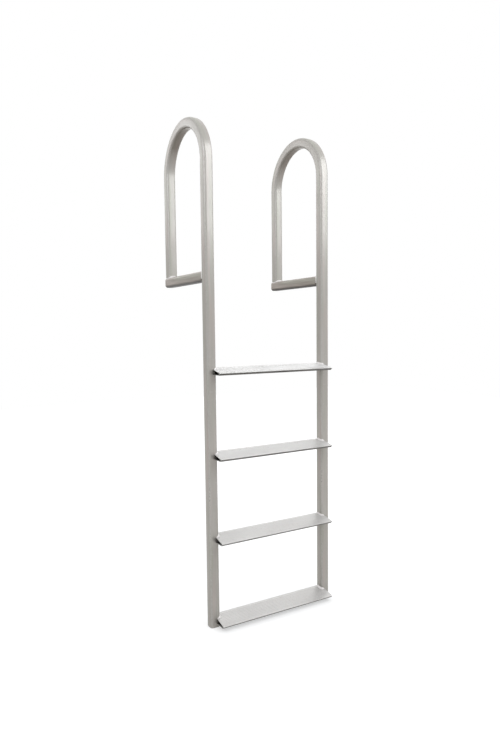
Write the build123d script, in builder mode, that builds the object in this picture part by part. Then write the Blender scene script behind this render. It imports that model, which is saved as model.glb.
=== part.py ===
"""Welded aluminium dock ladder, built as its separate tubes, treads and weld beads.

X runs along the treads to the right, Y runs towards the dock and Z is up, in millimetres.
The origin is the centre of the left foot bar's flat underside, so the dock's surface is Z = 0.
"""

import os
from math import atan2, cos, radians, sin, tan

from build123d import *

os.makedirs("parts", exist_ok=True)

INCH = 25.4

# Printed sizes of the whole ladder
OVERALL_WIDTH = 21.25 * INCH
HOOP_HEIGHT = 23.75 * INCH
FOOT_REACH = 14.25 * INCH
LOWEST_TREAD_DROP = 48.0 * INCH
TREAD_SPACING = 12.0 * INCH
TREAD_DEPTH = 3.5 * INCH
TREAD_COUNT = 4

# Square tube of the rails and foot bars
TUBE = 1.5 * INCH
TUBE_CORNER = 0.42 * INCH
TUBE_WALL = 0.125 * INCH
BORE_FLAT = 4.4
RAIL_TAIL = 1.5 * INCH

# Tread extrusion
TREAD_OVERLAP = 0.55 * INCH
TREAD_SLOPE = 12.0
TREAD_LIP = 0.33 * INCH
TREAD_LIP_SETBACK = 0.35 * INCH
TREAD_WALL = 2.2
TREAD_BACK_ROUND = 9.0
TREAD_EDGE_ROUND = 1.2
RIB_COUNT = 9
RIB_WIDTH = 2.6
RIB_HEIGHT = 0.7
RIB_ROOT = 0.5
RIB_FLANK_ANGLE = 60.0
RIB_MARGIN = 11.0

# Bolt holes through the foot bars
BOLT_HOLE = 0.4375 * INCH
BOLT_SPAN = 8.0 * INCH

# Weld beads: legs along both faces, a crown between them and a root that fills the joint
BEAD_LEG = 6.0
BEAD_CROWN = 3.8
BEAD_ROOT = 3.0
COLLAR_DEPTH = 7.0
COLLAR_INSET = 5.4
COLLAR_START = 8.0

# Places that follow from the sizes above
RAIL_SPAN = OVERALL_WIDTH - TUBE
LEG_SPAN = FOOT_REACH - TUBE
BAR_LENGTH = LEG_SPAN
BAR_FRONT = -BAR_LENGTH / 2
BAR_BACK = BAR_LENGTH / 2
RAIL_Y = BAR_FRONT - TUBE / 2
LEG_Y = BAR_BACK - TUBE / 2
BEND_RADIUS = LEG_SPAN / 2
BEND_Y = (RAIL_Y + LEG_Y) / 2
BEND_Z = HOOP_HEIGHT - TUBE / 2 - BEND_RADIUS
RAIL_BOTTOM = -LOWEST_TREAD_DROP - RAIL_TAIL
SIDES = {"left": 0.0, "right": RAIL_SPAN}
TREAD_START = TUBE / 2 - TREAD_OVERLAP
TREAD_LENGTH = RAIL_SPAN - 2 * TREAD_START
TREAD_BACK_Y = RAIL_Y + TUBE / 2
TREAD_FRONT_Y = TREAD_BACK_Y - TREAD_DEPTH
SLOPE_RISE = (TREAD_DEPTH - TREAD_BACK_ROUND) * tan(radians(TREAD_SLOPE))
CREST_DROP = TREAD_BACK_ROUND * (1 / cos(radians(TREAD_SLOPE)) - 1)
LIP_TOP = -SLOPE_RISE + CREST_DROP
LIP_FALL = atan2(TREAD_LIP, TREAD_LIP_SETBACK)
HALF_NOSE = (LIP_FALL + radians(TREAD_SLOPE)) / 2
NOSE_TILT = (LIP_FALL - radians(TREAD_SLOPE)) / 2
NOSE_TRIM = TREAD_EDGE_ROUND * (cos(NOSE_TILT) / sin(HALF_NOSE) - 1)
NOSE_Y = TREAD_FRONT_Y - NOSE_TRIM
NOSE_TOP = LIP_TOP - NOSE_TRIM * tan(radians(TREAD_SLOPE))
LIP_BOTTOM = NOSE_TOP - TREAD_LIP
RIB_PITCH = (TREAD_DEPTH - TREAD_BACK_ROUND - 2 * RIB_MARGIN) / (RIB_COUNT - 1)
SEAM_BACK = (TREAD_DEPTH - TREAD_BACK_ROUND) / cos(radians(TREAD_SLOPE))
SEAM_FRONT = (TREAD_DEPTH - TUBE) / cos(radians(TREAD_SLOPE))
TREAD_DROPS = [LOWEST_TREAD_DROP - TREAD_SPACING * n for n in reversed(range(TREAD_COUNT))]


def slope_height(reach):
    """Height of a tread's sloping top, below its crest, at a reach behind the front edge."""
    return LIP_TOP + reach * tan(radians(TREAD_SLOPE))


def bore_points():
    """Corners of a tube's square bore, each cut off by a flat so that the wall keeps its thickness."""
    half = TUBE / 2 - TUBE_WALL
    flat = half - BORE_FLAT
    quarter = [(half, flat), (flat, half)]
    signs = [(1, 1), (-1, 1), (-1, -1), (1, -1)]
    corners = []
    for index, (u, v) in enumerate(signs):
        ordered = quarter if index % 2 == 0 else quarter[::-1]
        corners += [(u * a, v * b) for a, b in ordered]
    return corners


def wedge_points(crest):
    """Corners of a tread's cross-section, as (y, z) pairs, for a crest at that height."""
    return [
        (NOSE_Y + TREAD_LIP_SETBACK, crest + LIP_BOTTOM),
        (NOSE_Y, crest + NOSE_TOP),
        (TREAD_BACK_Y, crest + slope_height(TREAD_DEPTH)),
        (TREAD_BACK_Y, crest + LIP_BOTTOM),
    ]


def rib_centres(crest):
    """Centres of the grip ribs' sections, which stand on the tread's sloping top."""
    lift = (RIB_HEIGHT - RIB_ROOT) / 2
    centres = []
    for index in range(RIB_COUNT):
        reach = RIB_MARGIN + index * RIB_PITCH
        y = TREAD_FRONT_Y + reach - lift * sin(radians(TREAD_SLOPE))
        z = crest + slope_height(reach) + lift * cos(radians(TREAD_SLOPE))
        centres.append((y, z))
    return centres


def collar_points():
    """Corners of a weld path over three sides of a tube, in the tube's own section plane."""
    half = TUBE / 2 - COLLAR_INSET
    return [(-half, COLLAR_START), (-half, TUBE), (half, TUBE), (half, COLLAR_START)]


# Rails: one bent tube each, from the tail up over the hoop and down to the foot bar
for side, x in SIDES.items():
    with BuildPart() as rail:
        with BuildSketch(Plane((x, RAIL_Y, BEND_Z))) as section:
            RectangleRounded(TUBE, TUBE, TUBE_CORNER)
            Polygon(*bore_points(), mode=Mode.SUBTRACT)
        extrude(amount=RAIL_BOTTOM - BEND_Z)
        revolve(section.sketch, axis=Axis((x, BEND_Y, BEND_Z), (1, 0, 0)), revolution_arc=-180)
        with BuildSketch(Plane((x, LEG_Y, TUBE))):
            RectangleRounded(TUBE, TUBE, TUBE_CORNER)
            Polygon(*bore_points(), mode=Mode.SUBTRACT)
        extrude(amount=BEND_Z - TUBE)
    rail.part.label = f"{side}_rail"
    export_step(rail.part, f"parts/{side}_rail.step")

# Foot bars: straight tubes that lie on the dock, with two bolt holes each
for side, x in SIDES.items():
    with BuildPart() as bar:
        with BuildSketch(Plane((x, BAR_FRONT, TUBE / 2), x_dir=(1, 0, 0), z_dir=(0, 1, 0))):
            RectangleRounded(TUBE, TUBE, TUBE_CORNER)
            Polygon(*bore_points(), mode=Mode.SUBTRACT)
        extrude(amount=BAR_LENGTH)
        with BuildSketch(Plane.XY):
            with Locations((x, -BOLT_SPAN / 2), (x, BOLT_SPAN / 2)):
                Circle(BOLT_HOLE / 2)
        extrude(amount=TUBE, mode=Mode.SUBTRACT)
    bar.part.label = f"{side}_foot_bar"
    export_step(bar.part, f"parts/{side}_foot_bar.step")

# Treads: hollow ribbed wedges, notched to fit against the rails, and their weld beads
for number, drop in enumerate(TREAD_DROPS, start=1):
    with BuildPart() as tread:
        with BuildSketch(Plane.YZ.offset(TREAD_START)) as profile:
            with BuildLine():
                Polyline(*wedge_points(-drop), close=True)
            make_face()
            fillet(profile.vertices().sort_by(Axis.Y)[-1], TREAD_BACK_ROUND)
            fillet(profile.vertices().sort_by(Axis.X)[:2], TREAD_EDGE_ROUND)
            offset(amount=-TREAD_WALL, mode=Mode.SUBTRACT)
            with Locations(*rib_centres(-drop)):
                Trapezoid(RIB_WIDTH, RIB_HEIGHT + RIB_ROOT, RIB_FLANK_ANGLE, rotation=TREAD_SLOPE)
        extrude(amount=TREAD_LENGTH)
        with BuildSketch(Plane.XY.offset(-drop + LIP_BOTTOM)):
            for x in SIDES.values():
                with Locations((x, RAIL_Y)):
                    RectangleRounded(TUBE, TUBE, TUBE_CORNER)
                with Locations((x, RAIL_Y + TUBE / 4)):
                    Rectangle(TUBE, TUBE / 2)
        extrude(amount=TREAD_SPACING, mode=Mode.SUBTRACT)
    tread.part.label = f"tread_{number}"
    export_step(tread.part, f"parts/tread_{number}.step")

    slope_plane = Plane(
        (0, TREAD_FRONT_Y, -drop + LIP_TOP),
        x_dir=(1, 0, 0),
        z_dir=(0, -sin(radians(TREAD_SLOPE)), cos(radians(TREAD_SLOPE))),
    )
    for side, x in SIDES.items():
        inward = 1 if side == "left" else -1
        face_x = x + inward * TUBE / 2
        bend_x = face_x - inward * TUBE_CORNER
        with BuildPart() as bead:
            with BuildLine(slope_plane) as seam:
                back = Line((face_x, SEAM_BACK), (face_x, SEAM_FRONT + TUBE_CORNER))
                bend = RadiusArc(back @ 1, (bend_x, SEAM_FRONT), inward * TUBE_CORNER)
                Line(bend @ 1, (x + inward * TREAD_START, SEAM_FRONT))
            with BuildSketch(Plane(seam.line @ 0, x_dir=(inward, 0, 0), z_dir=seam.line % 0)):
                Polygon(
                    (-BEAD_ROOT, 0),
                    (BEAD_LEG, 0),
                    (BEAD_CROWN, inward * BEAD_CROWN),
                    (0, inward * BEAD_LEG),
                    (-BEAD_ROOT, inward * BEAD_LEG),
                    align=None,
                )
            sweep()
            with BuildSketch(Plane((x, RAIL_Y, -drop + LIP_BOTTOM))):
                RectangleRounded(TUBE, TUBE, TUBE_CORNER)
            extrude(amount=TREAD_SPACING, mode=Mode.SUBTRACT)
            with BuildSketch(Plane.YZ.offset(TREAD_START)):
                with Locations(*rib_centres(-drop)):
                    Trapezoid(RIB_WIDTH, RIB_HEIGHT + RIB_ROOT, RIB_FLANK_ANGLE, rotation=TREAD_SLOPE)
            extrude(amount=TREAD_LENGTH, mode=Mode.SUBTRACT)
        bead.part.label = f"tread_{number}_weld_{side}"
        export_step(bead.part, f"parts/tread_{number}_weld_{side}.step")

# Foot bar welds: a collar over three sides of the bar at the rail, and of the leg on the bar
collars = {
    "front": (Plane((0, BAR_FRONT, 0), x_dir=(1, 0, 0), z_dir=(0, -1, 0)), RAIL_Y, -TUBE),
    "rear": (Plane((0, BAR_BACK, TUBE), x_dir=(1, 0, 0), z_dir=(0, 0, -1)), LEG_Y, TUBE),
}
for side, x in SIDES.items():
    for end, (plane, upright_y, upright_z) in collars.items():
        with BuildPart() as collar:
            with BuildLine(plane.move(Location((x, 0, 0)))) as seam:
                FilletPolyline(*collar_points(), radius=TUBE_CORNER - COLLAR_INSET)
            with BuildSketch(Plane(seam.line @ 0, x_dir=(-1, 0, 0), z_dir=seam.line % 0)):
                Polygon(
                    (-BEAD_ROOT, -BEAD_LEG),
                    (0, -BEAD_LEG),
                    (BEAD_CROWN, -BEAD_CROWN),
                    (BEAD_LEG, 0),
                    (BEAD_LEG, COLLAR_DEPTH),
                    (-BEAD_ROOT, COLLAR_DEPTH),
                    align=None,
                )
            sweep()
            with BuildSketch(Plane((x, BAR_FRONT, TUBE / 2), x_dir=(1, 0, 0), z_dir=(0, 1, 0))):
                RectangleRounded(TUBE, TUBE, TUBE_CORNER)
            extrude(amount=BAR_LENGTH, mode=Mode.SUBTRACT)
            with BuildSketch(Plane((x, upright_y, upright_z))):
                RectangleRounded(TUBE, TUBE, TUBE_CORNER)
            extrude(amount=TUBE * 3, mode=Mode.SUBTRACT)
        collar.part.label = f"{side}_bar_{end}_weld"
        export_step(collar.part, f"parts/{side}_bar_{end}_weld.step")
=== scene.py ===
"""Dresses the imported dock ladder: its satin tubes, ribbed treads, weld beads and a plain studio.

Everything is in metres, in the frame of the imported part: X along the treads to the right, Y towards
the dock, Z up, with the origin under the middle of the left foot bar.
"""

from __future__ import annotations

import logging
import math
from dataclasses import dataclass, field
from enum import Enum

import bmesh
import bpy
from bmesh.types import BMesh, BMFace, BMVert
from bpy.types import Material, NodeSocket, Object
from mathutils import Matrix, Vector, kdtree, noise

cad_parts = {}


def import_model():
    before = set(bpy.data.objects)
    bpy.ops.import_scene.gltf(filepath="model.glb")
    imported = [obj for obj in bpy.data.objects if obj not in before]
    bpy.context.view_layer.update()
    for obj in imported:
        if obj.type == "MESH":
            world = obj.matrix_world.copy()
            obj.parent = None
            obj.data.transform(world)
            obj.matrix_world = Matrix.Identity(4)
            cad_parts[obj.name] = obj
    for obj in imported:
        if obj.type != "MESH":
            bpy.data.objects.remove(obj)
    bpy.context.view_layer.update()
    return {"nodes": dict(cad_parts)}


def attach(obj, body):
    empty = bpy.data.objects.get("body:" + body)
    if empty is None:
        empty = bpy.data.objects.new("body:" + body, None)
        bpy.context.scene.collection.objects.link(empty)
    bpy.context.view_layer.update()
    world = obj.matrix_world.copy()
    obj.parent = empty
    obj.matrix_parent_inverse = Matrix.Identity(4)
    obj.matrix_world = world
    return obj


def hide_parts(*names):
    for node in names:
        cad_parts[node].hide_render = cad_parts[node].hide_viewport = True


LOG = logging.getLogger("ladder")
INCH = 0.0254
MILLIMETRE = 0.001
HAIR = 1e-4
BODY = "root"
X_AXIS = Vector((1.0, 0.0, 0.0))
Y_AXIS = Vector((0.0, 1.0, 0.0))
Z_AXIS = Vector((0.0, 0.0, 1.0))


class Side(Enum):
    """The two sides of the ladder, by the way that points from each towards its middle."""

    LEFT = 1
    RIGHT = -1

    @property
    def word(self) -> str:
        """The side's name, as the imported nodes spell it."""
        return self.name.lower()


class Trait(Enum):
    """Point attributes that the finishes read."""

    STRAIGHT = "straight"
    EDGE = "edge"
    HEAT = "heat"
    GRAIN = "grain"
    INNER = "inner"

    def write(self, mesh: bpy.types.Mesh, values: list[Vector] | list[float]) -> None:
        """Writes the attribute's value at every point of a mesh.

        Args:
            mesh: The mesh that gets the attribute.
            values: One vector or one number for each of its points.
        """
        if isinstance(values[0], Vector):
            layer = mesh.attributes.new(self.value, "FLOAT_VECTOR", "POINT")
            layer.data.foreach_set("vector", [part for vector in values for part in vector])
        else:
            layer = mesh.attributes.new(self.value, "FLOAT", "POINT")
            layer.data.foreach_set("value", values)


# Sizes and places


@dataclass(frozen=True)
class Layout:
    """Sizes and places that the whole ladder shares, in metres."""

    tube: float = 1.5 * INCH
    corner: float = 0.42 * INCH
    wall: float = 0.125 * INCH
    width: float = 21.25 * INCH
    hoop_height: float = 23.75 * INCH
    reach: float = 14.25 * INCH
    lowest_drop: float = 48.0 * INCH
    spacing: float = 12.0 * INCH
    tread_depth: float = 3.5 * INCH
    tread_count: int = 4
    tail: float = 1.5 * INCH
    tread_overlap: float = 0.55 * INCH
    tread_slope: float = math.radians(12.0)
    tread_back_round: float = 9.0 * MILLIMETRE
    lip_fall: float = 0.33 * INCH
    lip_setback: float = 0.35 * INCH

    @property
    def rail_span(self) -> float:
        """Distance between the two rails' centre lines."""
        return self.width - self.tube

    @property
    def bar_back(self) -> float:
        """Y of the foot bars' open rear ends; their front ends are at the same distance in front."""
        return (self.reach - self.tube) / 2

    @property
    def rail_y(self) -> float:
        """Y of the rails' centre lines."""
        return -self.bar_back - self.tube / 2

    @property
    def leg_y(self) -> float:
        """Y of the rear legs' centre lines."""
        return self.bar_back - self.tube / 2

    @property
    def bend_radius(self) -> float:
        """Radius of the hoops' centre lines."""
        return (self.leg_y - self.rail_y) / 2

    @property
    def bend_y(self) -> float:
        """Y of the hoops' centres."""
        return (self.leg_y + self.rail_y) / 2

    @property
    def bend_z(self) -> float:
        """Height of the hoops' centres."""
        return self.hoop_height - self.tube / 2 - self.bend_radius

    @property
    def rail_bottom(self) -> float:
        """Height of the rails' lower ends, which is the lowest point of the ladder."""
        return -self.lowest_drop - self.tail

    @property
    def tread_start(self) -> float:
        """X of the treads' left ends."""
        return self.tube / 2 - self.tread_overlap

    @property
    def tread_front(self) -> float:
        """Y of the treads' front lips."""
        return self.rail_y + self.tube / 2 - self.tread_depth

    @property
    def lip_drop(self) -> float:
        """Depth of a tread's front lip below its crest."""
        rise = (self.tread_depth - self.tread_back_round) * math.tan(self.tread_slope)
        return rise - self.tread_back_round * (1 / math.cos(self.tread_slope) - 1)

    def rail_x(self, side: Side) -> float:
        """X of one rail's centre line."""
        return 0.0 if side is Side.LEFT else self.rail_span

    def crest(self, number: int) -> float:
        """Height of a tread's crest, counted from one at the top."""
        return -self.lowest_drop + self.spacing * (self.tread_count - number)


LAYOUT = Layout()


# Weld seams


@dataclass(frozen=True)
class Knot:
    """A point on a seam, with the directions that leave the two faces that meet there."""

    place: Vector
    off_wall: Vector
    off_plate: Vector


@dataclass
class Seam:
    """A welded joint line between two parts."""

    name: str
    knots: list[Knot]
    leg: float = 5.6 * MILLIMETRE
    lengths: list[float] = field(init=False)

    def __post_init__(self) -> None:
        """Measures the way along the knots."""
        self.lengths = [0.0]
        for before, after in zip(self.knots, self.knots[1:]):
            self.lengths.append(self.lengths[-1] + (after.place - before.place).length)

    @property
    def length(self) -> float:
        """Length of the whole seam."""
        return self.lengths[-1]

    def at(self, run: float) -> Knot:
        """Finds the point a given way along the seam.

        Args:
            run: Distance from the seam's start.

        Returns:
            The knot there, between its two neighbours.
        """
        index = 0
        while index < len(self.knots) - 2 and self.lengths[index + 1] < run:
            index += 1
        span = self.lengths[index + 1] - self.lengths[index]
        share = min(max((run - self.lengths[index]) / span, 0.0), 1.0)
        before, after = self.knots[index], self.knots[index + 1]
        return Knot(
            before.place.lerp(after.place, share),
            before.off_wall.lerp(after.off_wall, share).normalized(),
            before.off_plate.lerp(after.off_plate, share).normalized(),
        )


class SeamPlan:
    """Works out where every weld runs."""

    CORNER_STEPS = 8
    END_INSET = 2.0 * MILLIMETRE
    COLLAR_SINK = 6.9 * MILLIMETRE
    COLLAR_LEG = 6.9 * MILLIMETRE
    COLLAR_GAP = 2.5 * MILLIMETRE
    COLLAR_FOOT = 5.0 * MILLIMETRE

    def __init__(self, layout: Layout) -> None:
        """Keeps the ladder's sizes."""
        self.layout = layout

    def tread_seam(self, number: int, side: Side) -> Seam:
        """Lays a seam on a tread's slope, along a rail's inner side and round to its front.

        Args:
            number: The tread, counted from one at the top.
            side: The rail that the tread meets.

        Returns:
            The seam, from the tread's back edge to the rail's front.
        """
        size, inward = self.layout, side.value
        half = size.tube / 2
        rail_x = size.rail_x(side)
        plate = Vector((0.0, -math.sin(size.tread_slope), math.cos(size.tread_slope)))
        lip_z = size.crest(number) - size.lip_drop

        def on_slope(x: float, y: float, wall: Vector) -> Knot:
            """Puts a knot on the tread's sloping top."""
            height = lip_z + (y - size.tread_front) * math.tan(size.tread_slope)
            return Knot(Vector((x, y, height)), wall, plate)

        back_y = size.rail_y + half - size.tread_back_round
        bend = Vector((rail_x + inward * (half - size.corner), size.rail_y - half + size.corner))
        knots = [on_slope(rail_x + inward * half, back_y, X_AXIS * inward)]
        for step in range(self.CORNER_STEPS + 1):
            turn = math.pi / 2 * step / self.CORNER_STEPS
            wall = Vector((inward * math.cos(turn), -math.sin(turn), 0.0))
            place = bend + wall.xy * size.corner
            knots.append(on_slope(place.x, place.y, wall))
        end_x = rail_x + inward * (size.tread_start + self.END_INSET)
        knots.append(on_slope(end_x, size.rail_y - half, -Y_AXIS))
        return Seam(f"tread_{number}_weld_{side.word}", knots)

    def collar(self, name: str, place: Matrix) -> Seam:
        """Lays a seam over three sides of a tube that ends on another tube.

        Args:
            name: The weld's node.
            place: Turns the joint's own axes into the ladder's: across, up the open side, off the wall.

        Returns:
            The seam, from one flank over the top to the other.
        """
        size = self.layout
        half, flat = size.tube / 2, size.tube / 2 - size.corner
        sunk = half - self.COLLAR_SINK
        turn_radius = sunk - flat
        wall = (place.to_3x3() @ Z_AXIS).normalized()

        def knot(across: float, up: float, off: float, plate: Vector) -> Knot:
            """Puts a knot by its place in the joint's own axes."""
            return Knot(place @ Vector((across, up, off)), wall, (place.to_3x3() @ plate).normalized())

        rising = [knot(-sunk, self.COLLAR_FOOT, -self.COLLAR_GAP, -X_AXIS)]
        for step in range(self.CORNER_STEPS + 1):
            share = step / self.CORNER_STEPS
            turn = math.pi / 2 * share
            lift = share * self.COLLAR_SINK
            plate = Vector((-math.cos(turn), math.sin(turn), 0.0))
            across = -flat - turn_radius * math.cos(turn)
            up = size.tube - size.corner + turn_radius * math.sin(turn) + lift
            rising.append(knot(across, up, -self.COLLAR_GAP * (1 - share), plate))
        mirror = place @ Matrix.Scale(-1.0, 4, X_AXIS) @ place.inverted()
        falling = [
            Knot(mirror @ k.place, k.off_wall, (mirror.to_3x3() @ k.off_plate).normalized())
            for k in reversed(rising)
        ]
        return Seam(name, rising + falling, self.COLLAR_LEG)

    def bar_seams(self, side: Side) -> list[Seam]:
        """Lays the two collars of one foot bar: at the rail, and under the rear leg."""
        size = self.layout
        x = size.rail_x(side)
        front = Matrix.Translation((x, -size.bar_back, 0.0)) @ Matrix.Rotation(math.pi / 2, 4, "X")
        front = front @ Matrix.Scale(-1.0, 4, Z_AXIS)
        rear = Matrix.Translation((x, size.bar_back, size.tube)) @ Matrix.Scale(-1.0, 4, Y_AXIS)
        return [
            self.collar(f"{side.word}_bar_front_weld", front),
            self.collar(f"{side.word}_bar_rear_weld", rear),
        ]

    def all_seams(self) -> list[Seam]:
        """Lays every seam of the ladder."""
        seams = []
        for number in range(1, self.layout.tread_count + 1):
            seams += [self.tread_seam(number, side) for side in Side]
        for side in Side:
            seams += self.bar_seams(side)
        return seams


class HeatMap:
    """Tells how close a point is to the nearest weld."""

    STEP = 3.0 * MILLIMETRE

    def __init__(self, seams: list[Seam]) -> None:
        """Samples the seams into a search tree."""
        places = []
        for seam in seams:
            count = max(2, int(seam.length / self.STEP))
            places += [seam.at(seam.length * i / count).place for i in range(count + 1)]
        self.tree = kdtree.KDTree(len(places))
        for index, place in enumerate(places):
            self.tree.insert(place, index)
        self.tree.balance()

    def distance(self, point: Vector) -> float:
        """Distance from a point to the nearest seam."""
        return self.tree.find(point)[2]


# Materials


class NodeBoard:
    """Lays out and joins one material's nodes."""

    NOISE_LOW, NOISE_HIGH = 0.3, 0.7
    MIX_SHARE, MIX_FIRST, MIX_SECOND, MIX_RESULT = 0, 6, 7, 2

    def __init__(self, tree: bpy.types.NodeTree) -> None:
        """Clears the tree."""
        self.tree = tree
        self.tree.nodes.clear()

    def node(self, kind: str, inputs: dict[str | int, object], **settings: object) -> bpy.types.Node:
        """Adds a node.

        Args:
            kind: Blender's name of the node's type.
            inputs: What each input socket is joined or set to.
            **settings: The node's own settings.

        Returns:
            The new node.
        """
        made = self.tree.nodes.new(kind)
        for name, value in settings.items():
            setattr(made, name, value)
        for socket, value in inputs.items():
            if isinstance(value, NodeSocket):
                self.tree.links.new(value, made.inputs[socket])
            else:
                made.inputs[socket].default_value = value
        return made

    def trait(self, trait: Trait, output: str = "Fac") -> NodeSocket:
        """Reads a point attribute."""
        return self.node("ShaderNodeAttribute", {}, attribute_name=trait.value).outputs[output]

    def stretch(self, vector: NodeSocket, by: tuple[float, float, float]) -> NodeSocket:
        """Stretches a pattern's coordinates."""
        return self.node("ShaderNodeVectorMath", {0: vector, 1: by}, operation="MULTIPLY").outputs[0]

    def noise(
        self, vector: NodeSocket, scale: float, detail: float, roughness: float
    ) -> NodeSocket:
        """Adds a noise pattern, and gives its value."""
        wanted = {"Vector": vector, "Scale": scale, "Detail": detail, "Roughness": roughness}
        return self.node("ShaderNodeTexNoise", wanted).outputs["Fac"]

    def spread(
        self, value: NodeSocket, low: float, high: float, to_low: float = 0.0, to_high: float = 1.0
    ) -> NodeSocket:
        """Maps a range of values to another, held at its ends."""
        wanted = {"Value": value, "From Min": low, "From Max": high, "To Min": to_low, "To Max": to_high}
        return self.node("ShaderNodeMapRange", wanted).outputs["Result"]

    def sway(self, pattern: NodeSocket, low: float, high: float) -> NodeSocket:
        """Maps a noise pattern's usual values to a range."""
        return self.spread(pattern, self.NOISE_LOW, self.NOISE_HIGH, low, high)

    def sum(self, *values: NodeSocket | float) -> NodeSocket:
        """Adds values."""
        total = values[0]
        for value in values[1:]:
            total = self.node("ShaderNodeMath", {0: total, 1: value}, operation="ADD").outputs[0]
        return total

    def times(self, *values: NodeSocket | float) -> NodeSocket:
        """Multiplies values."""
        total = values[0]
        for value in values[1:]:
            total = self.node("ShaderNodeMath", {0: total, 1: value}, operation="MULTIPLY").outputs[0]
        return total

    def blend(
        self, share: NodeSocket, first: NodeSocket | tuple[float, ...], second: tuple[float, ...]
    ) -> NodeSocket:
        """Mixes two colours."""
        wanted = {self.MIX_SHARE: share, self.MIX_FIRST: first, self.MIX_SECOND: second}
        mixer = self.node("ShaderNodeMix", wanted, data_type="RGBA")
        return mixer.outputs[self.MIX_RESULT]

    def bump(
        self, height: NodeSocket, depth: float, strength: float, before: NodeSocket | None = None
    ) -> NodeSocket:
        """Turns a height into a bent surface direction."""
        wanted: dict[str | int, object] = {"Height": height, "Distance": depth, "Strength": strength}
        if before is not None:
            wanted["Normal"] = before
        return self.node("ShaderNodeBump", wanted).outputs["Normal"]


@dataclass(frozen=True)
class Tone:
    """A colour in linear light."""

    red: float
    green: float
    blue: float

    @property
    def rgba(self) -> tuple[float, float, float, float]:
        """The colour with a full alpha."""
        return (self.red, self.green, self.blue, 1.0)


class Mark(Enum):
    """The marks that bare aluminium carries, with painted shade on faces that look down and on inner
    walls, and a weld halo that is partly painted light.
    """

    DIE_LINES = "lines that the extrusion die draws"
    FINE_LINES = "fainter and closer lines"
    CLOUD = "clouds of oxide"
    DRIFT = "slow changes of brightness"
    BANDS = "soft bands of colour along the stock"
    MOTTLE = "fine mottle"
    SCUFFS = "short scuffs across"
    RAGGED = "ragged borders of the marks below"
    RUBBED = "rubbed corners and edges"
    # Light halo by a weld: partly etched metal, partly painted light that lifts the rails' shade on the
    # tread ends.
    WELD_HALO = "metal near a weld"
    SMOKED = "soot round a weld's etched halo"
    # Painted shade, with some brown stain, on faces that look down.
    UNDERSIDE_SHADE = "faces that look down"
    # Painted shade: the inner walls of bores and hollows go near black.
    INNER = "inner walls"


@dataclass(frozen=True)
class Pattern:
    """A noise pattern, drawn out across, deep and along the stock."""

    scale: float
    stretch: tuple[float, float, float] = (1.0, 1.0, 1.0)
    detail: float = 2.0
    roughness: float = 0.5

    def draw(self, board: NodeBoard, place: NodeSocket, closer: float = 1.0) -> NodeSocket:
        """Adds the pattern's nodes.

        Args:
            board: The material's nodes.
            place: The coordinates that it follows.
            closer: How much finer it gets.

        Returns:
            The pattern's value.
        """
        place = board.stretch(place, self.stretch)
        return board.noise(place, self.scale * closer, self.detail, self.roughness)


LINE_PATTERNS = {
    Mark.DIE_LINES: Pattern(1.0, (1.0, 1.0, 0.012), 3.0, 0.6),
    Mark.FINE_LINES: Pattern(4.0, (1.0, 1.0, 0.03)),
}
PATTERNS = {
    Mark.CLOUD: Pattern(26.0, (1.0, 1.0, 0.25), 4.0, 0.55),
    Mark.DRIFT: Pattern(4.5),
    Mark.BANDS: Pattern(55.0, (1.0, 1.0, 0.06)),
    Mark.MOTTLE: Pattern(420.0, detail=3.0, roughness=0.6),
    Mark.SCUFFS: Pattern(300.0, (0.15, 1.0, 0.5)),
    Mark.RAGGED: Pattern(160.0),
}


@dataclass(frozen=True)
class Coat:
    """A tone over the metal, where a mark's value runs from bare to full."""

    mark: Mark
    tone: Tone
    share: float
    bare: float = 0.0
    full: float = 1.0

    def lay(
        self,
        board: NodeBoard,
        marks: dict[Mark, NodeSocket],
        colour: NodeSocket | tuple[float, ...],
    ) -> NodeSocket:
        """Lays the tone over a colour.

        Args:
            board: The material's nodes.
            marks: The values of all marks.
            colour: The colour so far.

        Returns:
            The colour with this coat.
        """
        cover = board.spread(marks[self.mark], self.bare, self.full, 0.0, self.share)
        return board.blend(cover, colour, self.tone.rgba)


@dataclass(frozen=True)
class Relief:
    """Fine height in the surface, from one mark."""

    mark: Mark
    depth: float
    strength: float


RELIEFS = (
    Relief(Mark.DIE_LINES, 0.06 * MILLIMETRE, 0.5),
    Relief(Mark.FINE_LINES, 0.02 * MILLIMETRE, 0.5),
    Relief(Mark.MOTTLE, 0.015 * MILLIMETRE, 0.4),
)


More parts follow.
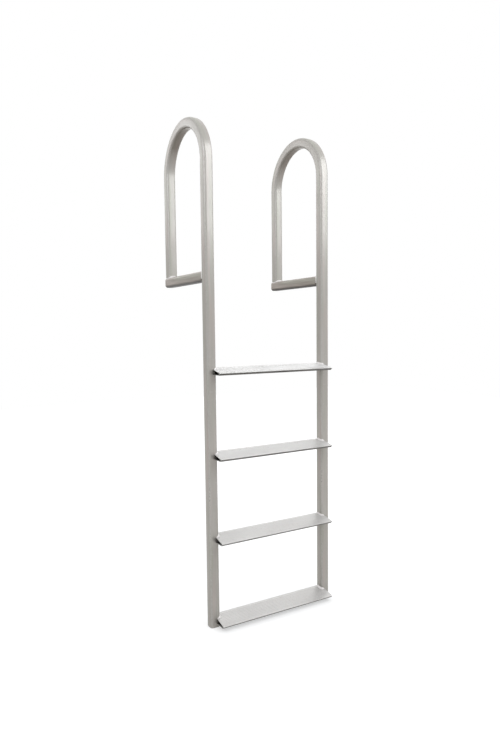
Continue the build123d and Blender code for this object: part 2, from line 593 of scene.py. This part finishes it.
@dataclass(frozen=True)
class MetalFinish:
    """Bare aluminium as it left the mill, the saw and the welder, with painted shade on faces that look
    down and on its inner walls, and painted light in part of its weld halos.
    """

    name: str
    clean: Tone = Tone(0.47, 0.442, 0.405)
    dull: Tone = Tone(0.40, 0.38, 0.345)
    worn: Tone = Tone(0.60, 0.59, 0.575)
    # Tone of the light weld halo: partly etched metal, partly painted light.
    etched_and_lit: Tone = Tone(0.76, 0.735, 0.72)
    smoke: Tone = Tone(0.33, 0.30, 0.26)
    olive: Tone = Tone(0.41, 0.41, 0.345)
    blush: Tone = Tone(0.50, 0.435, 0.40)
    # Tone of the painted shade on faces that look down, brown like a stain.
    stain_and_shade: Tone = Tone(0.17, 0.125, 0.085)
    # Near-black painted shade for the inner walls.
    bore: Tone = Tone(0.035, 0.033, 0.03)
    metallic: float = 0.45
    gloss: float = 0.5
    # Metallic and specular level where shade is painted, under faces and on inner walls.
    shade_and_stain_metallic: float = 0.05
    shade_and_stain_gloss: float = 0.1
    roughness: float = 0.38
    anisotropy: float = 0.6
    quarter_turn: float = 0.25
    rougher_clouds: tuple[float, float] = (-0.05, 0.07)
    rougher_lines: float = 0.04
    rougher_rubbed: float = -0.10
    rougher_warmed: float = 0.10
    ragged_border: float = 0.18
    cloudy_border: float = 0.12
    smoke_starts: float = 0.15
    # Where the light weld halo starts and is full; part of that halo is painted light.
    halo_starts: float = 0.5
    halo_full: float = 0.85
    # Painted shade on faces that look down: where it starts and is full by the normal's height, and how
    # strong it is.
    under_starts: float = -0.15
    under_full: float = -0.85
    stain_and_shade_share: float = 0.4
    tinted: float = 0.75
    streak_scale: float = 520.0
    streak_strength: float = 0.35

    def coats(self) -> tuple[Coat, ...]:
        """Lists the tones over the clean metal, from the lowest up."""
        return (
            Coat(Mark.CLOUD, self.dull, 0.55, 0.35, 0.75),
            Coat(Mark.DRIFT, self.dull, 0.35, 0.45, 0.75),
            Coat(Mark.BANDS, self.olive, self.tinted, 0.5, 0.68),
            Coat(Mark.BANDS, self.blush, self.tinted, 0.5, 0.32),
            Coat(Mark.DIE_LINES, self.worn, self.streak_strength, 0.3, 0.7),
            Coat(Mark.MOTTLE, self.dull, 0.25, 0.6, 0.8),
            Coat(Mark.SCUFFS, self.worn, 0.35, 0.66, 0.74),
            Coat(Mark.RUBBED, self.worn, 0.5),
            Coat(Mark.SMOKED, self.smoke, 0.35),
            # Light weld halo: partly etched metal, partly painted light.
            Coat(Mark.WELD_HALO, self.etched_and_lit, 0.75, self.halo_starts, self.halo_full),
            # Painted shade, with some brown stain, on faces that look down.
            Coat(Mark.UNDERSIDE_SHADE, self.stain_and_shade, self.stain_and_shade_share),
            # Painted shade on the inner walls.
            Coat(Mark.INNER, self.bore, 1.0),
        )

    def marks(self, board: NodeBoard) -> dict[Mark, NodeSocket]:
        """Draws every mark.

        Args:
            board: The material's nodes.

        Returns:
            The value of each mark.
        """
        place = board.trait(Trait.STRAIGHT, "Vector")
        marks = {mark: pattern.draw(board, place) for mark, pattern in PATTERNS.items()}
        for mark, lines in LINE_PATTERNS.items():
            marks[mark] = lines.draw(board, place, self.streak_scale)
        ragged = marks[Mark.RAGGED]
        border = board.sway(ragged, -self.ragged_border, self.ragged_border)
        # Closeness to a weld with a ragged border; it lays the soot and the light halo, which is partly
        # painted light.
        weld_halo = board.sum(board.trait(Trait.HEAT), border)
        facing = board.node("ShaderNodeNewGeometry", {}).outputs["Normal"]
        upward = board.node("ShaderNodeSeparateXYZ", {0: facing}).outputs["Z"]
        border = board.sway(marks[Mark.CLOUD], -self.cloudy_border, self.cloudy_border)
        marks[Mark.RUBBED] = board.times(board.trait(Trait.EDGE), board.spread(ragged, 0.3, 0.6))
        marks[Mark.WELD_HALO] = weld_halo
        marks[Mark.SMOKED] = board.times(
            board.spread(weld_halo, self.smoke_starts, self.halo_starts),
            board.spread(weld_halo, self.halo_full, self.halo_starts),
        )
        # Painted shade: faces whose normal points down get darker, with a ragged border.
        marks[Mark.UNDERSIDE_SHADE] = board.spread(board.sum(upward, border), self.under_starts, self.under_full)
        # Mask of the painted shade on the inner walls.
        marks[Mark.INNER] = board.trait(Trait.INNER)
        return marks

    def uneven_roughness(self, board: NodeBoard, marks: dict[Mark, NodeSocket]) -> NodeSocket:
        """Makes clouds duller, rubbed corners smoother and the metal near a weld rougher."""
        clearer, cloudier = self.rougher_clouds
        return board.sum(
            board.sway(marks[Mark.CLOUD], self.roughness + clearer, self.roughness + cloudier),
            board.sway(marks[Mark.FINE_LINES], -self.rougher_lines, self.rougher_lines),
            board.times(marks[Mark.RUBBED], self.rougher_rubbed),
            board.times(board.trait(Trait.HEAT), self.rougher_warmed),
        )

    def material(self) -> Material:
        """Builds the finish as a node material.

        Returns:
            The material, which reads the pieces' own attributes.
        """
        material = bpy.data.materials.new(self.name)
        material.use_nodes = True
        board = NodeBoard(material.node_tree)
        marks = self.marks(board)
        colour = self.clean.rgba
        for coat in self.coats():
            colour = coat.lay(board, marks, colour)
        bent = None
        for relief in RELIEFS:
            bent = board.bump(marks[relief.mark], relief.depth, relief.strength, bent)
        # Where shade is painted, under faces and on inner walls, the metal also turns less metallic and
        # less glossy.
        shade_and_stain_cover = board.sum(board.times(marks[Mark.UNDERSIDE_SHADE], self.stain_and_shade_share), marks[Mark.INNER])
        shader = board.node(
            "ShaderNodeBsdfPrincipled",
            {
                "Base Color": colour,
                "Metallic": board.spread(shade_and_stain_cover, 0.0, 1.0, self.metallic, self.shade_and_stain_metallic),
                "Specular IOR Level": board.spread(shade_and_stain_cover, 0.0, 1.0, self.gloss, self.shade_and_stain_gloss),
                "Roughness": self.uneven_roughness(board, marks),
                "Normal": bent,
                "Anisotropic": self.anisotropy,
                "Anisotropic Rotation": self.quarter_turn,
                "Tangent": board.trait(Trait.GRAIN, "Vector"),
            },
        )
        board.node("ShaderNodeOutputMaterial", {"Surface": shader.outputs[0]})
        return material


class Finishes:
    """The ladder's four finishes, each made once."""

    def __init__(self) -> None:
        """Makes the materials."""
        self.tube = MetalFinish("satin_tube").material()
        # The bars are darker and browner than the tube, and their undersides take the painted shade near
        # black at full share.
        self.bar = MetalFinish(
            "stained_and_shaded_bar",
            clean=Tone(0.29, 0.255, 0.22),
            dull=Tone(0.24, 0.205, 0.17),
            worn=Tone(0.44, 0.41, 0.375),
            stain_and_shade=Tone(0.035, 0.025, 0.018),
            stain_and_shade_share=1.0,
        ).material()
        # The treads' lips and undersides take strong painted shade.
        self.tread = MetalFinish(
            "ribbed_tread",
            clean=Tone(0.55, 0.54, 0.53),
            dull=Tone(0.50, 0.49, 0.48),
            stain_and_shade=Tone(0.10, 0.09, 0.08),
            anisotropy=0.3,
            stain_and_shade_share=0.85,
            tinted=0.08,
            streak_scale=420.0,
        ).material()
        self.weld = MetalFinish(
            "weld_metal",
            clean=Tone(0.86, 0.83, 0.82),
            dull=Tone(0.72, 0.69, 0.675),
            worn=Tone(0.92, 0.90, 0.89),
            roughness=0.36,
            anisotropy=0.1,
            stain_and_shade_share=0.3,
            tinted=0.1,
        ).material()


# Making pieces


@dataclass(frozen=True)
class Shop:
    """What every piece is made with."""

    nodes: dict[str, Object]
    finishes: Finishes
    heat_map: HeatMap


class Form:
    """A piece's form, and what the finishes need to know of it."""

    halo: float = 9.0 * MILLIMETRE

    def straight(self, point: Vector) -> Vector:
        """Gives a point's own place, for metal without a grain to follow."""
        return point

    def edge(self, _point: Vector) -> float:
        """How much a point is rubbed, from nothing to one."""
        return 0.0

    def grain(self, _point: Vector) -> Vector:
        """The way that the drawn metal's fine lines run at a point."""
        return X_AXIS

    def inner(self, _point: Vector) -> bool:
        """Whether a point lies on the stock's inner walls."""
        return False

    def build(self, shop: Shop) -> Object:
        """Makes the finished piece."""
        raise NotImplementedError


@dataclass
class Workpiece:
    """A mesh on the bench, on its way to be one piece of the ladder."""

    name: str
    nodes: tuple[str, ...]
    slot: str
    crease: float = math.radians(32.0)
    mesh: BMesh = field(default_factory=bmesh.new)

    def copy_node(self, node: Object) -> None:
        """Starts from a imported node's mesh, with its loose triangles merged."""
        self.mesh.from_mesh(node.data)
        bmesh.ops.remove_doubles(self.mesh, verts=self.mesh.verts, dist=1e-6)

    def push(self, faces: list[BMFace], by: Vector) -> list[BMFace]:
        """Extrudes faces.

        Args:
            faces: The faces to extrude.
            by: How far they go.

        Returns:
            The faces at the new end.
        """
        made = bmesh.ops.extrude_face_region(self.mesh, geom=faces)["geom"]
        bmesh.ops.translate(self.mesh, vec=by, verts=[v for v in made if isinstance(v, BMVert)])
        return [f for f in made if isinstance(f, BMFace)]

    def push_in_steps(self, faces: list[BMFace], by: Vector, step: float) -> list[BMFace]:
        """Extrudes faces in equal steps no longer than one given."""
        count = max(1, math.ceil(by.length / step))
        for _ in range(count):
            faces = self.push(faces, by / count)
        return faces

    def slice_across(self, axis: Vector, places: list[float]) -> None:
        """Cuts new edges through the mesh at places along an axis."""
        for place in places:
            everything = [*self.mesh.verts, *self.mesh.edges, *self.mesh.faces]
            bmesh.ops.bisect_plane(
                self.mesh, geom=everything, dist=1e-7, plane_co=axis * place, plane_no=axis
            )

    def become(self, form: Form, finish: Material, heat_map: HeatMap) -> Object:
        """Turns the mesh into a finished piece that stands for its nodes.

        Args:
            form: Tells where the points lie in the piece's stock.
            finish: The material.
            heat_map: Where the welds are.

        Returns:
            The piece's object.
        """
        for face in self.mesh.faces:
            face.smooth = True
        for seam in self.mesh.edges:
            seam.smooth = seam.calc_face_angle(0.0) < self.crease
        data = bpy.data.meshes.new(self.name)
        places = [v.co.copy() for v in self.mesh.verts]
        self.mesh.to_mesh(data)
        self.mesh.free()
        for trait, values in (
            (Trait.STRAIGHT, [form.straight(p) for p in places]),
            (Trait.EDGE, [form.edge(p) for p in places]),
            (Trait.HEAT, [math.exp(-((heat_map.distance(p) / form.halo) ** 2)) for p in places]),
            (Trait.GRAIN, [form.grain(p) for p in places]),
            (Trait.INNER, [float(form.inner(p)) for p in places]),
        ):
            trait.write(data, values)
        data.materials.append(finish)
        piece = bpy.data.objects.new(self.name, data)
        bpy.context.scene.collection.objects.link(piece)
        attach(piece, BODY)
        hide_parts(*self.nodes)
        LOG.info("%s: %d faces", self.name, len(data.polygons))
        return piece


@dataclass(frozen=True)
class TubeStock:
    """Square tube with rounded corners, as the rails are cut from."""

    size: float = LAYOUT.tube
    corner: float = LAYOUT.corner
    wall: float = LAYOUT.wall
    bore_round: float = 4.4 * MILLIMETRE
    corner_steps: int = 8

    def end_face(self, piece: Workpiece, place: Matrix) -> list[BMFace]:
        """Draws the tube's ring-shaped end.

        Args:
            piece: The workpiece that gets the faces.
            place: Where the end goes, with the tube's run along its Z.

        Returns:
            The faces of the ring.
        """
        mesh = piece.mesh
        rims = []
        outside = (self.size / 2, self.corner)
        bore = (self.size / 2 - self.wall, self.bore_round)
        for half, rounding in (outside, bore):
            known = set(mesh.faces)
            square = bmesh.ops.create_grid(mesh, x_segments=1, y_segments=1, size=half)["verts"]
            bmesh.ops.bevel(
                mesh,
                geom=square,
                offset=rounding,
                offset_type="OFFSET",
                segments=self.corner_steps,
                profile=0.5,
                affect="VERTICES",
                material=-1,
            )
            disc = next(f for f in mesh.faces if f not in known)
            rims += list(disc.edges)
            bmesh.ops.delete(mesh, geom=[disc], context="FACES_ONLY")
        ring = bmesh.ops.bridge_loops(mesh, edges=rims)["faces"]
        bmesh.ops.transform(mesh, matrix=place, verts=list({v for f in ring for v in f.verts}))
        return ring

    def in_bore(self, across: float, deep: float) -> bool:
        """Whether a point of the section lies on the bore's wall, not on the outer skin."""
        flat = self.size / 2 - self.corner
        past = Vector((max(abs(across) - flat, 0.0), max(abs(deep) - flat, 0.0)))
        return self.corner - past.length > self.wall / 2

    def corner_share(self, across: float, deep: float) -> float:
        """How far into a rounded outer corner a point of the section lies, from nothing to one."""
        flat = self.size / 2 - self.corner
        middle = flat + self.corner * math.sqrt(0.5)
        low = min(abs(across), abs(deep))
        if max(abs(across), abs(deep)) < middle - 1e-5:
            return 0.0
        return min(max((low - flat) / (middle - flat), 0.0), 1.0) ** 2


@dataclass(frozen=True)
class Rail(Form):
    """One rail: a tube that rises past the treads, bends over and comes down to the foot bar."""

    side: Side
    stock: TubeStock = TubeStock()
    step: float = 8.0 * MILLIMETRE
    bend_steps: int = 84

    def straight(self, point: Vector) -> Vector:
        """Gives a point's place as if the rail had never been bent.

        Args:
            point: A point of the rail.

        Returns:
            Its places across and deep in the section, and its run along the tube.
        """
        size = LAYOUT
        across = point.x - size.rail_x(self.side)
        if point.z > size.bend_z:
            out = Vector((size.bend_y - point.y, point.z - size.bend_z))
            run = size.bend_z + size.bend_radius * math.atan2(out.y, out.x)
            return Vector((across, size.bend_radius - out.length, run))
        if point.y < size.bend_y:
            return Vector((across, point.y - size.rail_y, point.z))
        run = size.bend_z + size.bend_radius * math.pi + size.bend_z - point.z
        return Vector((across, size.leg_y - point.y, run))

    def edge(self, point: Vector) -> float:
        """How much a point is rubbed: the tube's corners, and the sawn lower end."""
        across, deep, run = self.straight(point)
        if run < LAYOUT.rail_bottom + HAIR:
            return 1.0
        return self.stock.corner_share(across, deep)

    def grain(self, point: Vector) -> Vector:
        """Gives the tube's run at a point: up the rail, round the hoop and down the leg."""
        if point.z <= LAYOUT.bend_z:
            return Z_AXIS
        out = Vector((point.y - LAYOUT.bend_y, point.z - LAYOUT.bend_z))
        return Vector((0.0, out.y, -out.x)).normalized()

    def inner(self, point: Vector) -> bool:
        """Whether a point lies on the bore's wall."""
        across, deep, _run = self.straight(point)
        return self.stock.in_bore(across, deep)

    def build(self, shop: Shop) -> Object:
        """Makes the rail.

        Args:
            shop: What the pieces are made with.

        Returns:
            The rail's object.
        """
        size = LAYOUT
        piece = Workpiece(f"{self.side.word}_rail_tube", (f"{self.side.word}_rail",), "tube")
        x = size.rail_x(self.side)
        start = Matrix.Translation((x, size.rail_y, size.rail_bottom))
        ring = self.stock.end_face(piece, start)
        ring = piece.push_in_steps(ring, Z_AXIS * (size.bend_z - size.rail_bottom), self.step)
        turned = bmesh.ops.spin(
            piece.mesh,
            geom=ring,
            cent=Vector((x, size.bend_y, size.bend_z)),
            axis=X_AXIS,
            angle=-math.pi,
            steps=self.bend_steps,
            use_merge=False,
            use_normal_flip=False,
            use_duplicate=False,
        )["geom_last"]
        ring = [f for f in turned if isinstance(f, BMFace)]
        piece.push_in_steps(ring, -Z_AXIS * (size.bend_z - size.tube), self.step)
        bmesh.ops.recalc_face_normals(piece.mesh, faces=piece.mesh.faces)
        return piece.become(self, shop.finishes.tube, shop.heat_map)


@dataclass(frozen=True)
class FootBar(Form):
    """One foot bar: a straight tube that lies on the dock, with two bolt holes."""

    side: Side
    stock: TubeStock = TubeStock()
    near_weld: float = 30.0 * MILLIMETRE
    step: float = 5.0 * MILLIMETRE

    def straight(self, point: Vector) -> Vector:
        """Gives a point's places across and deep in the section, and along the bar."""
        return Vector((point.x - LAYOUT.rail_x(self.side), point.z - LAYOUT.tube / 2, point.y))

    def edge(self, point: Vector) -> float:
        """How much a point is rubbed: the corners, and the open rear end."""
        across, deep, run = self.straight(point)
        if run > LAYOUT.bar_back - 1e-4:
            return 1.0
        return self.stock.corner_share(across, deep)

    def grain(self, _point: Vector) -> Vector:
        """The drawn lines run along the bar."""
        return Y_AXIS

    def inner(self, point: Vector) -> bool:
        """Whether a point lies on the bore's wall."""
        across, deep, _run = self.straight(point)
        return self.stock.in_bore(across, deep)

    def build(self, shop: Shop) -> Object:
        """Makes the bar from a merged copy of its node, with rings of edges near the welds.

        Args:
            shop: What the pieces are made with.

        Returns:
            The bar's object.
        """
        node = f"{self.side.word}_foot_bar"
        piece = Workpiece(f"{node}_tube", (node,), "tube")
        piece.copy_node(shop.nodes[node])
        end = LAYOUT.bar_back
        count = int(self.near_weld / self.step)
        places = [-end + self.step * i for i in range(1, count + 1)]
        places += [end - LAYOUT.tube - self.near_weld + self.step * i for i in range(3 * count)]
        piece.slice_across(Y_AXIS, [p for p in places if p < end - HAIR])
        return piece.become(self, shop.finishes.bar, shop.heat_map)


@dataclass(frozen=True)
class Tread(Form):
    """One tread: a hollow ribbed wedge, notched round the rails."""

    number: int
    near_weld: float = 48.0 * MILLIMETRE
    step: float = 4.0 * MILLIMETRE
    rim: float = 1.6 * MILLIMETRE
    wall: float = 2.2 * MILLIMETRE
    slack: float = 0.3 * MILLIMETRE
    rib_flank: float = 0.4 * MILLIMETRE
    rib_wear: float = 0.7
    next_stock: float = 0.37
    # The treads' wider halo carries more painted light where the rails shade the tread ends.
    halo: float = 15.0 * MILLIMETRE

    def straight(self, point: Vector) -> Vector:
        """Gives a point's places in the tread's section, and along the tread."""
        along = point.x + self.next_stock * self.number
        return Vector((point.y, point.z - LAYOUT.crest(self.number), along))

    def from_lip(self, point: Vector) -> tuple[float, float]:
        """Gives how far behind the front lip a point lies, and how far above it."""
        rise = point.z - (LAYOUT.crest(self.number) - LAYOUT.lip_drop)
        return point.y - LAYOUT.tread_front, rise

    def edge(self, point: Vector) -> float:
        """How much a point is rubbed: the lip's edges and the crowns of the ribs."""
        reach, rise = self.from_lip(point)
        above = rise - reach * math.tan(LAYOUT.tread_slope)
        if above > self.rib_flank:
            return self.rib_wear
        return 1.0 if reach < self.rim and abs(above) < self.rim else 0.0

    def inner(self, point: Vector) -> bool:
        """Whether a point lies on the hollow's wall: well inside the slope, back, lip and bottom."""
        size = LAYOUT
        reach, rise = self.from_lip(point)
        below = (reach * math.tan(size.tread_slope) - rise) * math.cos(size.tread_slope)
        lip_length = math.hypot(size.lip_fall, size.lip_setback)
        off_lip = (reach * size.lip_fall + rise * size.lip_setback) / lip_length
        inside = min(below, off_lip, size.tread_depth - reach, size.lip_fall + rise)
        return inside > self.wall - self.slack

    def build(self, shop: Shop) -> Object:
        """Makes the tread from a merged copy of its node, with rows of edges near the welds.

        Args:
            shop: What the pieces are made with.

        Returns:
            The tread's object.
        """
        node = f"tread_{self.number}"
        piece = Workpiece(f"{node}_step", (node,), "tread")
        piece.copy_node(shop.nodes[node])
        rows = [self.step * i for i in range(1, int(self.near_weld / self.step))]
        left, right = LAYOUT.tread_start, LAYOUT.rail_span - LAYOUT.tread_start
        piece.slice_across(X_AXIS, [left + r for r in rows] + [right - r for r in rows])
        return piece.become(self, shop.finishes.tread, shop.heat_map)


@dataclass(frozen=True)
class WeldBead(Form):
    """A bead of weld metal: overlapping puddles laid along a seam."""

    seam: Seam
    root: float = 2.6 * MILLIMETRE
    pitch: float = 2.7 * MILLIMETRE
    ripple: float = 0.11
    ripple_middle: float = 0.6
    ripple_lag: float = 0.42
    wander: float = 0.09
    wander_along: float = 210.0
    wander_around: float = 0.8
    wander_apart: float = 90.0
    crown_dip: float = 0.10
    flank: float = 0.8
    end_share: float = 0.02
    shine: float = 0.3
    halo: float = 1.0
    samples_per_ripple: int = 7
    around: int = 20

    def edge(self, _point: Vector) -> float:
        """Weld metal shines a little all over."""
        return self.shine

    def radius(self, run: float, turn: float) -> float:
        """Gives the bead's size at a place on its surface.

        Args:
            run: Distance along the seam.
            turn: Angle round the bead, from the plate's direction off the wall.

        Returns:
            Distance from the seam to the surface.
        """
        square = math.pi / 2
        leg = self.seam.leg
        crown = max(0.0, math.sin(turn * 2)) if turn < square else 0.0
        exposed = 1.0 if turn < square else max(0.0, math.cos((turn - square) * self.flank))
        if turn > math.pi:
            exposed = max(exposed, math.cos(min(math.tau - turn, square) * self.flank))
        size = self.root + (leg - self.root) * exposed
        size -= self.crown_dip * leg * crown
        phase = (run / self.pitch - self.ripple_lag * crown) % 1.0
        puddle = math.sqrt(max(0.0, 1.0 - (2 * phase - 1) ** 2)) - self.ripple_middle
        start = self.seam.knots[0].place * self.wander_apart
        drift = noise.noise(start + Vector((run * self.wander_along, 0.0, turn * self.wander_around)))
        size *= 1.0 + self.ripple * puddle + self.wander * drift
        to_end = min(run, self.seam.length - run)
        return size * math.sqrt(min(1.0, max(self.end_share, to_end / leg)))

    def build(self, shop: Shop) -> Object:
        """Makes the bead: a sheet rolled round its seam, closed at both ends.

        Args:
            shop: What the pieces are made with.

        Returns:
            The bead's object.
        """
        node = self.seam.name
        piece = Workpiece(f"{node}_bead", (node,), "weld", crease=math.pi)
        along = int(self.seam.length / self.pitch * self.samples_per_ripple)
        sheet = bmesh.ops.create_grid(piece.mesh, x_segments=along, y_segments=self.around, size=1.0)
        for vert in sheet["verts"]:
            run = (vert.co.x + 1) / 2 * self.seam.length
            turn = (vert.co.y + 1) / 2 * math.tau
            knot = self.seam.at(run)
            out = knot.off_wall * math.cos(turn) + knot.off_plate * math.sin(turn)
            vert.co = knot.place + out * self.radius(run, turn % math.tau)
        bmesh.ops.remove_doubles(piece.mesh, verts=piece.mesh.verts, dist=2e-6)
        bmesh.ops.holes_fill(piece.mesh, edges=[e for e in piece.mesh.edges if e.is_boundary], sides=0)
        bmesh.ops.recalc_face_normals(piece.mesh, faces=piece.mesh.faces)
        return piece.become(self, shop.finishes.weld, shop.heat_map)


class Ladder:
    """The whole ladder."""

    def __init__(self, nodes: dict[str, Object]) -> None:
        """Plans the seams and makes the finishes."""
        self.seams = SeamPlan(LAYOUT).all_seams()
        self.shop = Shop(nodes, Finishes(), HeatMap(self.seams))

    def build(self) -> list[Object]:
        """Makes every piece, from the rails to the weld beads."""
        forms: list[Form] = [Rail(side) for side in Side]
        forms += [FootBar(side) for side in Side]
        forms += [Tread(number) for number in range(1, LAYOUT.tread_count + 1)]
        forms += [WeldBead(seam) for seam in self.seams]
        return [form.build(self.shop) for form in forms]


# Studio


@dataclass(frozen=True)
class Lamp:
    """A soft rectangular lamp that looks at a point."""

    name: str
    place: tuple[float, float, float]
    target: tuple[float, float, float]
    width: float
    height: float
    power: float
    colour: tuple[float, float, float] = (0.91, 0.955, 1.0)

    def hang(self) -> Object:
        """Puts the lamp up."""
        data = bpy.data.lights.new(self.name, "AREA")
        data.shape, data.color, data.energy = "RECTANGLE", self.colour, self.power
        data.size, data.size_y = self.width, self.height
        lamp = bpy.data.objects.new(self.name, data)
        lamp.visible_camera = False
        lamp.location = self.place
        aim = Vector(self.target) - Vector(self.place)
        lamp.rotation_euler = aim.to_track_quat("-Z", "Y").to_euler()
        bpy.context.scene.collection.objects.link(lamp)
        return lamp


@dataclass(frozen=True)
class Viewpoint:
    """The camera, by its place and angles."""

    place: tuple[float, float, float] = (-0.957, -2.095, -0.176)
    heading: float = math.radians(30.4237)
    down: float = math.radians(4.4287)
    roll: float = math.radians(-0.6457)
    lens: float = 28.594
    sensor: float = 36.0

    def stand(self) -> Object:
        """Stands the camera up and makes it the scene's own."""
        forward = Vector(
            (
                math.sin(self.heading) * math.cos(self.down),
                math.cos(self.heading) * math.cos(self.down),
                -math.sin(self.down),
            )
        )
        right = Vector((math.cos(self.heading), -math.sin(self.heading), 0.0))
        up = right.cross(forward)
        level = Matrix((right, up, -forward)).transposed()
        data = bpy.data.cameras.new("camera")
        data.lens, data.sensor_width = self.lens, self.sensor
        camera = bpy.data.objects.new("camera", data)
        turned = level @ Matrix.Rotation(self.roll, 3, "Z")
        camera.matrix_world = Matrix.Translation(self.place) @ turned.to_4x4()
        bpy.context.scene.collection.objects.link(camera)
        bpy.context.scene.camera = camera
        return camera


@dataclass(frozen=True)
class Studio:
    """A plain pale floor, a soft world and a few lamps."""

    floor_size: float = 14.0
    floor_colour: Tone = Tone(0.50, 0.50, 0.50)
    bounce_colour: Tone = Tone(0.14, 0.12, 0.10)
    glow_near: float = 0.56
    glow_far: float = 0.72
    near: float = 0.6
    far: float = 3.2
    sky_low: float = 0.12
    sky_high: float = 1.50
    lamps: tuple[Lamp, ...] = (
        Lamp("front_lamp", (1.3, -1.85, 1.35), (0.3, -0.2, 0.45), 2.2, 1.8, 34.0),
        Lamp("left_lamp", (-1.7, -0.75, 1.15), (0.1, -0.1, 0.45), 1.6, 1.3, 9.0),
        Lamp("side_lamp", (-0.95, 1.45, 0.9), (0.15, -0.1, 0.35), 1.6, 0.9, 5.0),
        Lamp("back_lamp", (1.5, 1.6, 0.8), (0.25, -0.2, -1.0), 2.6, 1.4, 10.0, (1.0, 1.0, 1.0)),
    )

    def seen_plainly(self, board: NodeBoard) -> NodeSocket:
        """Tells rays that show the background from rays that light the object."""
        path = board.node("ShaderNodeLightPath", {})
        seen = board.sum(path.outputs["Is Camera Ray"], path.outputs["Is Glossy Ray"])
        seen = board.sum(seen, path.outputs["Is Transmission Ray"])
        return board.spread(seen, 0.0, 1.0)

    def lay_floor(self) -> Object:
        """Lays the floor at the ladder's lowest point."""
        mesh = bmesh.new()
        bmesh.ops.create_grid(mesh, x_segments=1, y_segments=1, size=self.floor_size / 2)
        bmesh.ops.translate(mesh, vec=Z_AXIS * LAYOUT.rail_bottom, verts=mesh.verts)
        data = bpy.data.meshes.new("floor")
        mesh.to_mesh(data)
        mesh.free()
        material = bpy.data.materials.new("pale_floor")
        material.use_nodes = True
        board = NodeBoard(material.node_tree)
        plain = board.node("ShaderNodeBsdfDiffuse", {"Color": self.floor_colour.rgba})
        place = board.node("ShaderNodeTexCoord", {}).outputs["Object"]
        level = board.stretch(place, (1.0, 1.0, 0.0))
        out = board.node("ShaderNodeVectorMath", {0: level}, operation="LENGTH").outputs["Value"]
        strength = board.spread(out, self.near, self.far, self.glow_near, self.glow_far)
        glow = board.node("ShaderNodeEmission", {"Strength": strength})
        shown = board.node("ShaderNodeAddShader", {0: plain.outputs[0], 1: glow.outputs[0]})
        bounce = board.node("ShaderNodeBsdfDiffuse", {"Color": self.bounce_colour.rgba})
        mixed = board.node(
            "ShaderNodeMixShader",
            {0: self.seen_plainly(board), 1: bounce.outputs[0], 2: shown.outputs[0]},
        )
        board.node("ShaderNodeOutputMaterial", {"Surface": mixed.outputs[0]})
        data.materials.append(material)
        floor = bpy.data.objects.new("floor", data)
        bpy.context.scene.collection.objects.link(floor)
        return floor

    def light_world(self) -> bpy.types.World:
        """Fills the world with soft light from above, on a background that shows white."""
        world = bpy.data.worlds.new("studio")
        world.use_nodes = True
        board = NodeBoard(world.node_tree)
        way = board.node("ShaderNodeTexCoord", {}).outputs["Generated"]
        height = board.spread(board.node("ShaderNodeSeparateXYZ", {0: way}).outputs["Z"], 0.0, 1.0)
        strength = board.spread(board.times(height, height), 0.0, 1.0, self.sky_low, self.sky_high)
        light = board.node("ShaderNodeBackground", {"Strength": strength})
        white = board.node("ShaderNodeBackground", {"Strength": 1.0})
        for background in (light, white):
            background.inputs["Color"].default_value = (1.0, 1.0, 1.0, 1.0)
        mixed = board.node(
            "ShaderNodeMixShader",
            {0: self.seen_plainly(board), 1: light.outputs[0], 2: white.outputs[0]},
        )
        board.node("ShaderNodeOutputWorld", {"Surface": mixed.outputs[0]})
        bpy.context.scene.world = world
        return world

    def set_up(self) -> None:
        """Readies the whole studio."""
        self.lay_floor()
        self.light_world()
        for lamp in self.lamps:
            lamp.hang()
        Viewpoint().stand()
        bpy.context.scene.view_settings.view_transform = "Standard"


def main() -> None:
    """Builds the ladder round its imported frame, and the studio round the ladder."""
    logging.basicConfig(level=logging.INFO, format="%(message)s")
    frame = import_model()
    pieces = Ladder(frame["nodes"]).build()
    LOG.info("%d pieces", len(pieces))
    Studio().set_up()


if __name__ == "__main__":
    main()
